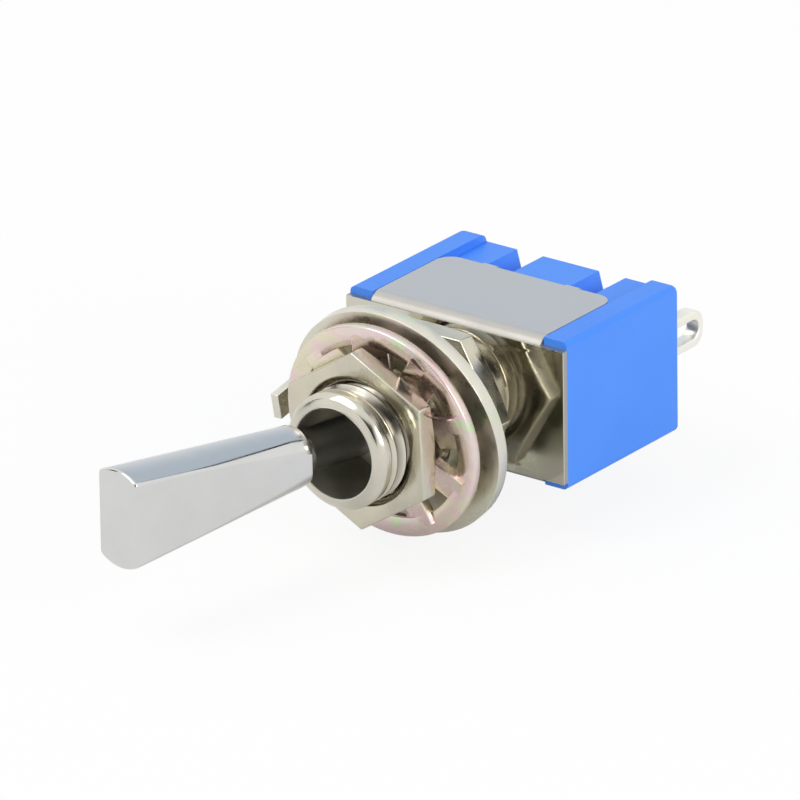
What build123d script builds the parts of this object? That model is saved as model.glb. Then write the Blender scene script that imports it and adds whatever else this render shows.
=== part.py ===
from build123d import *
from math import cos, radians, sin, tan
import os

# Panel toggle switch, in millimetres.
# +X is to the right along the lever's swing, +Y is to the rear, +Z is up.
# The origin is on the bushing's axis, at the front face of the bracket's plate.
# Everything is drawn in its rest pose, with the lever thrown to the left.

# Housing
body_length = 13.2
body_height = 7.8
body_depth = 9.75
body_edge_radius = 0.3
rear_top_radius = 0.5
end_wall = 1.4
cavity_length = 11.0
cavity_height = 4.4
castle_step = 0.45
slot_spacing = 5.03
slot_mouth = 1.61
slot_floor = 1.03
slot_depth = 1.05
seal_length = 10.8
seal_height = 4.4
seal_depth = 0.5

# Bracket
sheet = 0.35
plate_height = 7.0
bend_radius = 0.8
leg_end = 6.35
leg_corner_radius = 0.9
tab_width = 0.85
tab_reach = 1.05
tab_bend_radius = 0.3

# Bushing
bushing_radius = 3.0
bushing_length = 9.9
nose_chamfer_radial = 0.28
nose_chamfer_length = 0.3
nose_land = 0.6
shoulder_land = 0.15
thread_pitch = 0.75
thread_depth = 0.42
thread_crest = 0.12
thread_root = 0.12
spigot_radius = 2.6
stake_radius = 2.9
stake_length = 0.35
mouth_radius = 2.32
mouth_depth = 4.1
lip_thickness = 0.5
lip_fit = 0.1
pin_slot_wall = 0.2
keyway_width = 1.3
keyway_depth = 0.38
keyway_run_out = 0.6

# Lever
lever_reach = 18.5
throw_angle = 22.5
pivot_depth = 4.1
tip_radius = 2.56
tip_edge_radius = 0.15
neck_radius = 1.55
neck_reach = 7.15
neck_bevel = 0.4
shaft_radius = 1.1
flat_width = 2.76
ball_radius = 1.95
tail_radius = 1.2
tail_length = 6.3
socket_bottom = 3.0
lever_pin_radius = 0.5
lever_pin_length = 4.6

# Plunger and its spring
stem_radius = 0.71
stem_length = 1.8
plunger_travel = 0.4
plunger_head_radius = 0.9
plunger_head_length = 0.4
plunger_nose_radius = 0.6
plunger_nose_length = 0.4
spring_wire = 0.16
spring_radius = 0.52
spring_turns = 4

# Rocker contact
rocker_sheet = 0.35
rocker_width = 3.0
rocker_tilt = 4.5
trough_angle = 12.0
trough_half_width = 2.3
arm_run = 1.0
arm_drop = 1.1
arm_end = 0.7
saddle_width = 2.0
contact_radius = 0.6
contact_rim = 0.12
contact_dome = 0.18
contact_reach = 4.1

# Terminals and fixed contacts
lug_spacing = 4.7
lug_thickness = 0.8
lug_width = 1.9
lug_end = 13.85
lug_corner_radius = 0.75
eyelet_width = 1.0
eyelet_length = 2.8
eyelet_rim = 0.38
foot_thickness = 0.4
foot_length = 1.8
pad_radius = 0.7
pad_height = 0.25
cheek_thickness = 0.4
cheek_height = 0.6

# Nuts and washers
nut_across_flats = 8.0
nut_chamfer_radius = 3.9
nut_chamfer_angle = 18.0
nut_countersink = 0.3
front_nut_face = 8.05
front_nut_thickness = 1.15
front_nut_angle = 92.8
rear_nut_seat = 1.4
rear_nut_thickness = 1.2
rear_nut_angle = 0.0
lock_outer_radius = 5.67
lock_inner_radius = 4.62
lock_thickness = 0.5
lock_tooth_count = 9
lock_tooth_width = 1.9
lock_tooth_bore = 3.3
lock_tooth_twist = 14.0
lock_tooth_angle = 13.0
lock_lean = 7.0
lock_face = 6.05
lock_drop = 0.17
locating_outer_radius = 6.17
locating_bore = 3.25
locating_thickness = 0.7
locating_lean = 10.9
locating_face = 4.79
locating_drop = 0.1
locating_tab_width = 1.35
locating_tab_reach = 1.3
locating_tab_thickness = 0.45
locating_tab_radius = 0.35
locating_key_width = 1.0

# Clearances
thread_fit = 0.03
ball_fit = 0.1
pin_fit = 0.05
socket_fit = 0.04
head_fit = 0.1
trough_fit = 0.04
saddle_fit = 0.04
contact_gap = 0.03
recess_fit = 0.05
key_fit = 0.1

# Places that follow from the sizes
half_length = body_length / 2
half_height = body_height / 2
leg_inside = half_height - sheet
recess_half = half_length - end_wall
leg_half = recess_half - recess_fit
castle_top = half_height - castle_step
slot_bottom = castle_top - slot_depth
rear_end = sheet + stake_length
thread_root_radius = bushing_radius - thread_depth
pivot_y = -pivot_depth
pivot_axis = Axis((0, pivot_y, 0), (0, 0, 1))
rest_angle = throw_angle / 2
socket_radius = stem_radius + socket_fit
head_front = tail_length + plunger_travel + head_fit
nose_centre = head_front + plunger_head_length + plunger_nose_length
stem_front = head_front - stem_length
past = 1.0

# The rocker turns on the apex of its trough. The nose comes closest to the
# trough a quarter of the way through the throw, and is clear of it there.
quarter_angle = radians(rest_angle / 2)
quarter_slope = radians(trough_angle - rocker_tilt / 2)
quarter_x = nose_centre * sin(quarter_angle)
quarter_y = pivot_y + nose_centre * cos(quarter_angle)
trough_clear = (plunger_nose_radius + trough_fit) / cos(quarter_slope)
rocker_y = quarter_y + quarter_x * tan(quarter_slope) + trough_clear
rocker_axis = Axis((0, rocker_y, 0), (0, 0, 1))
shoulder_y = rocker_y - trough_half_width * tan(radians(trough_angle))
arm_y = shoulder_y + arm_drop
arm_rear = arm_y + rocker_sheet
saddle_y = rocker_y + rocker_sheet + saddle_fit

# The fixed contacts stand where a moving contact just fails to touch them.
dome_radius = (contact_radius**2 + contact_dome**2) / (2 * contact_dome)
dome_centre = arm_rear + contact_rim + contact_dome - dome_radius
closed_y = (
    rocker_y
    + (dome_centre - rocker_y) * cos(radians(rocker_tilt))
    + contact_reach * sin(radians(rocker_tilt))
    + dome_radius
)
pad_front = closed_y + contact_gap
pad_rear = pad_front + pad_height
cavity_end = pad_rear + foot_thickness


def block(x_span, y_span, z_span):
    """A box between two values on each axis."""
    spans = (x_span, y_span, z_span)
    size = [abs(end - start) for start, end in spans]
    centre = [(start + end) / 2 for start, end in spans]
    return Pos(*centre) * Box(*size)


def turned(outline):
    """A solid of revolution about Y, from points of radius and Y."""
    return revolve(make_face(Polyline(*outline, close=True)), Axis.Y)


def rod(radius, start, end, x=0.0):
    """A round rod along Y."""
    return Pos(x, (start + end) / 2, 0) * Rot(90, 0, 0) * Cylinder(radius, end - start)


def top_and_bottom(shape):
    """A shape with its mirror image below the axis."""
    return shape + mirror(shape, about=Plane.XY)


# Housing and bracket

def channel(width, front, radius, half_gap):
    """A block from the front back past the legs, with its two long front edges rounded."""
    body = block((-width / 2, width / 2), (front, leg_end), (-half_gap, half_gap))
    front_edges = body.edges().filter_by(Axis.X).group_by(Axis.Y)[0]
    return fillet(front_edges, radius)


def channel_outside(width):
    """The outer form of the folded plate and legs."""
    return channel(width, 0, bend_radius, half_height)


def channel_inside(width):
    """The space that the plate and legs fold around."""
    return channel(width, sheet, bend_radius - sheet, leg_inside)


def clinch_slot(x):
    """A tapered slot in the top rear edge, open to the rear."""
    flare = (slot_mouth - slot_floor) / slot_depth / 2
    top = half_height + past
    top_half = slot_floor / 2 + flare * (top - slot_bottom)
    outline = Polyline(
        (-slot_floor / 2, slot_bottom),
        (slot_floor / 2, slot_bottom),
        (top_half, top),
        (-top_half, top),
        close=True,
    )
    return Pos(x, leg_end, 0) * extrude(Plane.XZ * make_face(outline), leg_end - body_depth - past)


def lug_passages():
    """The passages for the three lugs through the housing's floor."""
    passages = Part()
    for x in (-lug_spacing, 0, lug_spacing):
        passages += block(
            (x - lug_thickness / 2, x + lug_thickness / 2),
            (cavity_end - past, body_depth + past),
            (-lug_width / 2, lug_width / 2),
        )
    return passages


def make_housing():
    """The moulded cup, open to the front, with castellated rear edges."""
    case = block((-half_length, half_length), (sheet, body_depth), (-half_height, half_height))
    top_rear = case.edges().filter_by(Axis.X).sort_by(lambda edge: edge.center().Y + edge.center().Z)[-1]
    case = fillet(top_rear, min(rear_top_radius, body_height / 3))
    ends = case.faces().filter_by(Axis.X)
    end_edges = ends.edges().filter_by(lambda edge: edge.center().Y > sheet + body_edge_radius)
    bottom_rear = case.edges().filter_by(Axis.X).sort_by(lambda edge: edge.center().Y - edge.center().Z)[-1:]
    case = fillet(end_edges + bottom_rear, min(body_edge_radius, end_wall / 3))

    around_legs = block(
        (-recess_half, recess_half),
        (0, leg_end),
        (-half_height - past, half_height + past),
    )
    case -= around_legs - channel_inside(2 * recess_half + past)
    case -= top_and_bottom(block(
        (-recess_half, recess_half),
        (leg_end - past, body_depth + past),
        (castle_top, half_height + past),
    ) - around_legs)
    for x in (-slot_spacing / 2, slot_spacing / 2):
        case -= top_and_bottom(clinch_slot(x))

    case -= block(
        (-cavity_length / 2, cavity_length / 2),
        (0, cavity_end),
        (-cavity_height / 2, cavity_height / 2),
    )
    case -= rod(stake_radius + recess_fit, 0, rear_end + recess_fit)
    case -= block(
        (-seal_length / 2, seal_length / 2),
        (body_depth - seal_depth, body_depth + past),
        (-seal_height / 2, seal_height / 2),
    )
    return case - lug_passages()


def make_bracket():
    """The folded sheet: a front plate, two legs and four clinch tabs."""
    folded = channel_outside(2 * leg_half) - channel_inside(2 * leg_half + past)
    corners = folded.edges().filter_by(Axis.Z).group_by(Axis.Y)[-1]
    folded = fillet(corners, min(leg_corner_radius, leg_half / 4))
    folded += block((-half_length, half_length), (0, sheet), (-plate_height / 2, plate_height / 2))
    for x in (-slot_spacing / 2, slot_spacing / 2):
        tab = block(
            (x - tab_width / 2, x + tab_width / 2),
            (leg_end, leg_end + sheet),
            (half_height - tab_reach, half_height),
        )
        outer_edge = tab.edges().filter_by(Axis.X).sort_by(lambda edge: edge.center().Y + edge.center().Z)[-1]
        folded += top_and_bottom(fillet(outer_edge, min(tab_bend_radius, sheet * 0.9)))
    return folded - rod(spigot_radius, -past, sheet + past)


# Bushing and lever

def thread_points():
    """The barrel's outer line, from the shoulder on the plate to the nose's land."""
    flank = (thread_pitch - thread_crest - thread_root) / 2
    land_start = nose_chamfer_length + nose_land - bushing_length
    count = int((-land_start - shoulder_land) / thread_pitch)
    points = [(bushing_radius, 0)]
    for number in range(count, 0, -1):
        groove = land_start + number * thread_pitch
        points += [
            (bushing_radius, groove - thread_crest * (number < count)),
            (thread_root_radius, groove - thread_crest - flank),
            (thread_root_radius, groove - thread_crest - flank - thread_root),
            (bushing_radius, groove - thread_pitch),
        ]
    return points


def make_bushing():
    """The threaded barrel, staked into the bracket, with the lever's ball seat inside."""
    nose = -bushing_length
    lip_front = nose + mouth_depth
    lip_rear = lip_front + lip_thickness
    lip_radius = (ball_radius**2 - (lip_rear - pivot_y)**2)**0.5 + lip_fit
    chamber_radius = ball_radius + ball_fit
    chamber_end = pivot_y + ball_radius + ball_fit
    rear_bore_radius = spigot_radius - sheet + recess_fit
    barrel = turned(thread_points() + [
        (bushing_radius, nose + nose_chamfer_length),
        (bushing_radius - nose_chamfer_radial, nose),
        (mouth_radius, nose),
        (mouth_radius, lip_front),
        (lip_radius, lip_front),
        (lip_radius, lip_rear),
        (chamber_radius, lip_rear),
        (chamber_radius, chamber_end),
        (rear_bore_radius, chamber_end),
        (rear_bore_radius, rear_end),
        (stake_radius, rear_end),
        (stake_radius, sheet),
        (spigot_radius, sheet),
        (spigot_radius, 0),
    ])
    slot_half = lever_pin_radius + pin_fit
    barrel -= block(
        (-slot_half, slot_half),
        (pivot_y - slot_half, chamber_end + past),
        (-bushing_radius, bushing_radius),
    ) & rod(thread_root_radius - pin_slot_wall, pivot_y - past, chamber_end + past)
    return barrel - block(
        (-bushing_radius - past, keyway_depth - bushing_radius),
        (nose - past, -keyway_run_out),
        (-keyway_width / 2, keyway_width / 2),
    )


def make_lever():
    """The chromed lever with its ball and tail."""
    tip = pivot_y - lever_reach
    neck = pivot_y - neck_reach
    handle = turned([
        (0, tip),
        (tip_radius, tip),
        (neck_radius, neck),
        (shaft_radius, neck + neck_bevel),
        (shaft_radius, pivot_y),
        (0, pivot_y),
    ]) & block(
        (-flat_width / 2, flat_width / 2),
        (tip, pivot_y),
        (-tip_radius, tip_radius),
    )
    handle = fillet(handle.faces().sort_by(Axis.Y)[0].edges(), tip_edge_radius)
    lever = handle + Pos(0, pivot_y, 0) * Sphere(ball_radius)
    lever += rod(tail_radius, pivot_y, pivot_y + tail_length)
    lever -= rod(socket_radius, pivot_y + socket_bottom, pivot_y + tail_length + past)
    lever -= Pos(0, pivot_y, 0) * Cylinder(lever_pin_radius, 2 * ball_radius + past)
    return lever.rotate(pivot_axis, -rest_angle)


def make_lever_pin():
    """The cross pin that turns in the barrel's two slots."""
    return Pos(0, pivot_y, 0) * Cylinder(lever_pin_radius, lever_pin_length)


def make_plunger():
    """The nose that slides in the lever's tail and faces the rocker's trough."""
    nose = turned([
        (0, pivot_y + stem_front),
        (stem_radius, pivot_y + stem_front),
        (stem_radius, pivot_y + head_front),
        (plunger_head_radius, pivot_y + head_front),
        (plunger_head_radius, pivot_y + head_front + plunger_head_length),
        (plunger_nose_radius, pivot_y + nose_centre),
        (0, pivot_y + nose_centre),
    ])
    nose += Pos(0, pivot_y + nose_centre, 0) * Sphere(plunger_nose_radius)
    return nose.rotate(pivot_axis, -rest_angle)


def make_plunger_spring():
    """The coil spring between the socket's bottom and the plunger's stem."""
    height = stem_front - socket_bottom - spring_wire - 2 * socket_fit
    path = Helix(height / spring_turns, height, spring_radius)
    section = Plane(origin=path @ 0, z_dir=path % 0) * Circle(spring_wire / 2)
    start = pivot_y + socket_bottom + socket_fit + spring_wire / 2
    coil = Pos(0, start, 0) * Rot(-90, 0, 0) * sweep(section, path=path)
    return coil.rotate(pivot_axis, -rest_angle)


# Rocker contact, drawn level and then tipped to its rest pose

def make_rocker_contact():
    """The bent strip that tips on the common terminal."""
    knee = trough_half_width + arm_run
    right = [(trough_half_width, shoulder_y), (knee, arm_y), (contact_reach + arm_end, arm_y)]
    left = [(-x, y) for x, y in reversed(right)]
    front = Polyline(*left, (0, rocker_y), *right)
    section = make_face(offset(front, amount=rocker_sheet, side=Side.LEFT))
    strip = extrude(section, rocker_width / 2, both=True)
    notch_half = (lug_thickness / 2) + 3 * recess_fit
    strip -= top_and_bottom(block(
        (-notch_half, notch_half),
        (shoulder_y, arm_rear),
        (saddle_width / 2, rocker_width),
    ))
    return strip.rotate(rocker_axis, rocker_tilt)


def make_rocker_tip(side):
    """A domed contact under one arm."""
    x = side * contact_reach
    tip = rod(contact_radius, arm_rear, arm_rear + contact_rim + contact_dome, x)
    tip &= Pos(x, dome_centre, 0) * Sphere(dome_radius)
    return tip.rotate(rocker_axis, rocker_tilt)


# Terminals

def make_lug(x, front):
    """A solder lug with its long eyelet."""
    lug = block(
        (x - lug_thickness / 2, x + lug_thickness / 2),
        (front, lug_end),
        (-lug_width / 2, lug_width / 2),
    )
    corners = lug.edges().filter_by(Axis.X).group_by(Axis.Y)[-1]
    lug = fillet(corners, min(lug_corner_radius, lug_width / 2.5))
    eyelet_end = lug_end - eyelet_rim
    eyelet = block(
        (x - lug_thickness, x + lug_thickness),
        (eyelet_end - eyelet_length, eyelet_end),
        (-eyelet_width / 2, eyelet_width / 2),
    )
    return lug - fillet(eyelet.edges().filter_by(Axis.X), eyelet_width / 2.1)


def make_side_terminal(side):
    """A lug with a foot that carries a fixed contact."""
    lug_edge = lug_spacing + lug_thickness / 2
    foot = block(
        (side * (lug_edge - foot_length), side * lug_edge),
        (pad_rear, cavity_end),
        (-lug_width / 2, lug_width / 2),
    )
    return make_lug(side * lug_spacing, cavity_end - foot_thickness) + foot


def make_common_terminal():
    """The lug with the saddle and cheeks that the rocker turns between."""
    cheek_inside = saddle_width / 2 + recess_fit
    cheek_outside = cheek_inside + cheek_thickness
    post = block(
        (-lug_thickness / 2, lug_thickness / 2),
        (saddle_y, cavity_end),
        (-cheek_outside, cheek_outside),
    )
    post += top_and_bottom(block(
        (-lug_thickness / 2, lug_thickness / 2),
        (saddle_y - cheek_height, saddle_y),
        (cheek_inside, cheek_outside),
    ))
    return make_lug(0, saddle_y) + post


def make_contact_pad(side):
    """A fixed contact on a terminal's foot."""
    return rod(pad_radius, pad_front, pad_rear, side * contact_reach)


def make_terminal_seal():
    """The sealing compound in the housing's rear recess."""
    pad = block(
        (-seal_length / 2, seal_length / 2),
        (body_depth - seal_depth, body_depth),
        (-seal_height / 2, seal_height / 2),
    )
    return pad - lug_passages()


# Mounting hardware

def make_nut(rear, thickness, angle):
    """A hexagon nut with its rear corners chamfered and its bore countersunk on both faces."""
    front = rear - thickness
    hexagon = Plane.XZ * RegularPolygon(nut_across_flats / 2, 6, rotation=angle, major_radius=False)
    drop = nut_across_flats * tan(radians(nut_chamfer_angle))
    wide = nut_chamfer_radius + nut_across_flats
    chamfer = turned([
        (0, rear),
        (nut_chamfer_radius, rear),
        (wide, rear - drop),
        (wide, front - drop),
        (0, front - drop),
    ])
    nut = Pos(0, rear, 0) * extrude(hexagon, thickness) & chamfer
    bore = bushing_radius + thread_fit
    mouth = bore + nut_countersink
    return nut - turned([
        (0, front - past),
        (mouth + past, front - past),
        (bore, front + nut_countersink),
        (bore, rear - nut_countersink),
        (mouth + past, rear + past),
        (0, rear + past),
    ])


def hung(washer, lean, face, drop):
    """Tips a flat washer forward at the top and hangs it on the thread."""
    return Pos(0, -face, -drop) * Rot(lean, 0, 0) * washer


def make_lock_washer():
    """The lock washer: a ring with twisted teeth inside."""
    washer = rod(lock_outer_radius, 0, lock_thickness)
    washer -= rod(lock_inner_radius, -past, lock_thickness + past)
    root = (lock_inner_radius + lock_outer_radius) / 2
    tooth = block(
        (lock_tooth_bore, root),
        (-lock_thickness / 2, lock_thickness / 2),
        (-lock_tooth_width / 2, lock_tooth_width / 2),
    )
    tooth = Pos(0, lock_thickness / 2, 0) * Rot(lock_tooth_twist, 0, 0) * tooth
    for number in range(lock_tooth_count):
        angle = lock_tooth_angle + number * 360 / lock_tooth_count
        washer += Rot(0, -angle, 0) * tooth
    return hung(washer, lock_lean, lock_face, lock_drop)


def make_locating_washer():
    """The locating washer, with a key in the barrel's keyway and a bent tab outside."""
    disc = rod(locating_outer_radius, 0, locating_thickness)
    disc -= rod(locating_bore, -past, locating_thickness + past)
    tab_outside = locating_outer_radius + locating_tab_thickness
    tab = block(
        (-tab_outside, locating_tab_thickness - tab_outside),
        (-locating_tab_reach, locating_thickness),
        (-locating_tab_width / 2, locating_tab_width / 2),
    )
    bend = tab.edges().filter_by(Axis.Z).sort_by(lambda edge: edge.center().Y - edge.center().X)[-1]
    tab = fillet(bend, min(locating_tab_radius, locating_tab_thickness * 0.9))
    neck = block(
        (-tab_outside + locating_tab_thickness, -locating_outer_radius + locating_tab_thickness),
        (0, locating_thickness),
        (-locating_tab_width / 2, locating_tab_width / 2),
    )
    key = block(
        (-locating_bore - locating_tab_thickness, keyway_depth - bushing_radius - key_fit),
        (0, locating_thickness),
        (-locating_key_width / 2, locating_key_width / 2),
    )
    return hung(disc + tab + neck + key, locating_lean, locating_face, locating_drop)


nodes = {
    "housing": make_housing(),
    "bracket": make_bracket(),
    "bushing": make_bushing(),
    "lever": make_lever(),
    "lever_pin": make_lever_pin(),
    "plunger": make_plunger(),
    "plunger_spring": make_plunger_spring(),
    "rocker_contact": make_rocker_contact(),
    "rocker_tip_left": make_rocker_tip(-1),
    "rocker_tip_right": make_rocker_tip(1),
    "terminal_left": make_side_terminal(-1),
    "terminal_common": make_common_terminal(),
    "terminal_right": make_side_terminal(1),
    "contact_pad_left": make_contact_pad(-1),
    "contact_pad_right": make_contact_pad(1),
    "terminal_seal": make_terminal_seal(),
    "front_nut": make_nut(front_nut_thickness - front_nut_face, front_nut_thickness, front_nut_angle),
    "lock_washer": make_lock_washer(),
    "locating_washer": make_locating_washer(),
    "rear_nut": make_nut(-rear_nut_seat, rear_nut_thickness, rear_nut_angle),
}

os.makedirs("parts", exist_ok=True)
for name, shape in nodes.items():
    shape.label = name
    export_step(shape, f"parts/{name}.step")
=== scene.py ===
# %% [markdown]
# # Panel toggle switch
# A miniature toggle switch: a blue moulded case in a folded nickel-plated bracket, a threaded
# bushing with two nuts and two washers, and a flat chromed lever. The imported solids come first,
# and every piece that is made here sits where they are, in metres.

from math import atan2, cos, degrees, pi, radians, sin, sqrt

import bmesh
import bpy
from mathutils import Matrix, Vector


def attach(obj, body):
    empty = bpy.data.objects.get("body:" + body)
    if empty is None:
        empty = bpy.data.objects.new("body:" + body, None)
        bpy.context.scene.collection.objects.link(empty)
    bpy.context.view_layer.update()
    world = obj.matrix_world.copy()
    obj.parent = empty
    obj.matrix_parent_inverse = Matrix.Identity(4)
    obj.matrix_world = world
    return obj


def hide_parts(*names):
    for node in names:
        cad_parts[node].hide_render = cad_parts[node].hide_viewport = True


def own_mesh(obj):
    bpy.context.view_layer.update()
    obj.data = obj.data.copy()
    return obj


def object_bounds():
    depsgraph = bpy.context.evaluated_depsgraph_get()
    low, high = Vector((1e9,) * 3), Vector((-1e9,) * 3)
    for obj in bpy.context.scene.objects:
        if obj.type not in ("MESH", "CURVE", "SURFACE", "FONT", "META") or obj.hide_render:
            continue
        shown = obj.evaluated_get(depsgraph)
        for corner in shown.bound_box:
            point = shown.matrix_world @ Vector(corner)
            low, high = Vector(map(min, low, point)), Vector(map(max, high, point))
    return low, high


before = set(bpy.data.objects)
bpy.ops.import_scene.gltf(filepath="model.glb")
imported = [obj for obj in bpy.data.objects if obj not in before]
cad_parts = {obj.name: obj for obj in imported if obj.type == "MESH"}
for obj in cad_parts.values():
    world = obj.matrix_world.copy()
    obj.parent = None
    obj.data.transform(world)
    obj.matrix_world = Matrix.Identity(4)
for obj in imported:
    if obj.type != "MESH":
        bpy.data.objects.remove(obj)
cad_box = [list(corner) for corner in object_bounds()]
print("CAD box, mm:", [[round(1000 * v, 2) for v in corner] for corner in cad_box])

# %% [markdown]
# ## Camera
# The camera was fitted to the photograph: it looks from the front right, a little from above,
# through a long lens. A long lens far away keeps parallel edges nearly parallel.

# %% Camera
MM = 0.001
azimuth = radians(37.14)
elevation = radians(22.56)
roll = radians(-0.8626)
camera_distance = 620 * MM
camera_shift = (2.6771 * MM, 0.5028 * MM)
focal_pixels = 12641.0
frame_pixels = 800

towards = Vector((sin(azimuth) * cos(elevation), -cos(azimuth) * cos(elevation), sin(elevation)))
level = (-towards).cross(Vector((0, 0, 1))).normalized()
upright = level.cross(-towards)
right = level * cos(roll) + upright * sin(roll)
up = upright * cos(roll) - level * sin(roll)

lens = bpy.data.cameras.new("Camera")
lens.sensor_width = 36
lens.lens = focal_pixels / frame_pixels * lens.sensor_width
lens.clip_start = 0.01
lens.clip_end = 20
camera = bpy.data.objects.new("Camera", lens)
place = towards * camera_distance - right * camera_shift[0] - up * camera_shift[1]
camera.matrix_world = Matrix.Translation(place) @ Matrix((right, up, towards)).transposed().to_4x4()
bpy.context.scene.collection.objects.link(camera)
bpy.context.scene.camera = camera
print("Lens, mm:", round(lens.lens, 1))

# %% [markdown]
# ## Studio
# Bright plating shows its surroundings more than its own colour. The room is white, as in a light
# tent, and dark cards and a blue-grey backdrop outside the picture give the plating the darker
# streaks that the real one has. The lamps are large, so that their shadows are soft. Everything
# below is wired from nodes, so two helpers come first: one adds a node and one joins sockets.

# %% Node helpers
scene = bpy.context.scene
scene.view_settings.view_transform = "Standard"


def new_material(name):
    """A material with an empty node tree."""
    material = bpy.data.materials.new(name)
    material.use_nodes = True
    material.node_tree.nodes.clear()
    return material


def node(tree, kind, **values):
    """Adds a node, and sets its sockets by name and its properties by their own names."""
    made = tree.nodes.new(kind)
    for key, value in values.items():
        if key in made.inputs:
            made.inputs[key].default_value = value
        else:
            setattr(made, key, value)
    return made


def wire(tree, *pairs):
    """Joins sockets: each pair is (node, output, node, input)."""
    for start, output, end, entry in pairs:
        tree.links.new(start.outputs[output], end.inputs[entry])


print("View transform:", scene.view_settings.view_transform)

# %% Light tent


def light_room():
    """White for what the camera and shiny surfaces see, softer as a light on matt surfaces."""
    world = bpy.data.worlds.new("Light tent")
    world.use_nodes = True
    tree = world.node_tree
    tree.nodes.clear()
    rays = node(tree, "ShaderNodeLightPath")
    seen = node(tree, "ShaderNodeMath", operation="MAXIMUM")
    clear = node(tree, "ShaderNodeMath", operation="MAXIMUM")
    soft = node(tree, "ShaderNodeBackground", Color=(1, 1, 1, 1), Strength=0.62)
    bright = node(tree, "ShaderNodeBackground", Color=(1, 1, 1, 1), Strength=1.0)
    mix = node(tree, "ShaderNodeMixShader")
    out = node(tree, "ShaderNodeOutputWorld")
    wire(tree, (rays, "Is Camera Ray", seen, 0), (rays, "Is Glossy Ray", seen, 1),
         (seen, 0, clear, 0), (rays, "Is Transmission Ray", clear, 1), (clear, 0, mix, "Fac"),
         (soft, 0, mix, 1), (bright, 0, mix, 2), (mix, 0, out, 0))
    scene.world = world


light_room()
print("World:", scene.world.name)

# %% Materials for the floor and the cards


def floor_material():
    """Pale and matt, and lifted to white for the camera, so that only a soft shadow shows."""
    material = new_material("Pale floor")
    tree = material.node_tree
    rays = node(tree, "ShaderNodeLightPath")
    matt = node(tree, "ShaderNodeBsdfDiffuse", Color=(0.9, 0.9, 0.9, 1))
    glow = node(tree, "ShaderNodeEmission", Color=(1, 1, 1, 1), Strength=1.0)
    share = node(tree, "ShaderNodeMath", operation="MULTIPLY")
    share.inputs[1].default_value = 0.88
    mix = node(tree, "ShaderNodeMixShader")
    out = node(tree, "ShaderNodeOutputMaterial")
    wire(tree, (rays, "Is Camera Ray", share, 0), (share, 0, mix, "Fac"), (matt, 0, mix, 1),
         (glow, 0, mix, 2), (mix, 0, out, 0))
    return material


def plain_material(name, colour):
    """A matt colour for a card in the studio."""
    material = new_material(name)
    tree = material.node_tree
    matt = node(tree, "ShaderNodeBsdfDiffuse", Color=(*colour, 1))
    out = node(tree, "ShaderNodeOutputMaterial")
    wire(tree, (matt, 0, out, 0))
    return material


def graded_material(name, low_colour, high_colour, low, high):
    """A card that glows in one colour below a height, in another above one, and between them."""
    material = new_material(name)
    tree = material.node_tree
    spot = node(tree, "ShaderNodeTexCoord")
    parts = node(tree, "ShaderNodeSeparateXYZ")
    rise = node(tree, "ShaderNodeMapRange")
    rise.inputs["From Min"].default_value = low
    rise.inputs["From Max"].default_value = high
    grade = node(tree, "ShaderNodeValToRGB")
    grade.color_ramp.elements[0].color = (*low_colour, 1)
    grade.color_ramp.elements[1].color = (*high_colour, 1)
    glow = node(tree, "ShaderNodeEmission", Strength=1.0)
    out = node(tree, "ShaderNodeOutputMaterial")
    wire(tree, (spot, "Object", parts, 0), (parts, "Z", rise, "Value"), (rise, 0, grade, 0),
         (grade, 0, glow, 0), (glow, 0, out, 0))
    return material


dark_card = plain_material("Dark card", (0.02, 0.02, 0.022))
sky_card = graded_material("Blue-grey backdrop", (0.80, 0.84, 0.90), (0.60, 0.68, 0.78), 0.12, 0.42)
pale_floor = floor_material()
print("Studio materials:", len(bpy.data.materials))

# %% Floor and cards
floor_gap = 0.3 * MM


def panel(name, centre, size, facing, material):
    """A flat sheet in the studio, facing a point."""
    mesh = bpy.data.meshes.new(name)
    half_wide, half_high = size[0] / 2, size[1] / 2
    signs = ((-1, -1), (1, -1), (1, 1), (-1, 1))
    corners = [(half_wide * across, half_high * along, 0) for across, along in signs]
    turn = (Vector(facing) - Vector(centre)).to_track_quat("Z", "Y").to_matrix().to_4x4()
    spot = Matrix.Translation(Vector(centre)) @ turn
    mesh.from_pydata([spot @ Vector(corner) for corner in corners], [], [(0, 1, 2, 3)])
    mesh.materials.append(material)
    sheet = bpy.data.objects.new(name, mesh)
    scene.collection.objects.link(sheet)
    return sheet


floor_level = cad_box[0][2] - floor_gap
panel("floor", (0, 0, floor_level), (4, 4), (0, 0, 1), pale_floor)
for name, centre, size, facing, material in (
    ("card_low_front", (0.16, -0.42, 0.02), (0.22, 0.10), (0, 0, 0), dark_card),
    ("card_left", (-0.45, -0.25, 0.10), (0.10, 0.30), (0, 0, 0), dark_card),
    ("card_round_camera", (0.31, -0.60, 0.33), (0.55, 0.46), (0, 0, 0), dark_card),
    ("backdrop", (-0.20, 0.45, 0.30), (0.69, 0.64), (-0.20, 0, 0.30), sky_card),
    ("backdrop_edge", (0.17, 0.45, 0.30), (0.05, 0.64), (0.17, 0, 0.30), dark_card),
):
    card = panel(name, centre, size, facing, material)
    card.visible_camera = False
    card.visible_shadow = False
    card.visible_diffuse = False
print("Floor level, mm:", round(floor_level / MM, 2))

# %% Lamps


def lamp(name, place, size, power):
    """A large square lamp that points at the switch."""
    light = bpy.data.lights.new(name, "AREA")
    light.shape = "SQUARE"
    light.size = size
    light.energy = power
    made = bpy.data.objects.new(name, light)
    made.location = place
    made.rotation_euler = (-Vector(place)).to_track_quat("-Z", "Y").to_euler()
    scene.collection.objects.link(made)
    return made


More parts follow.
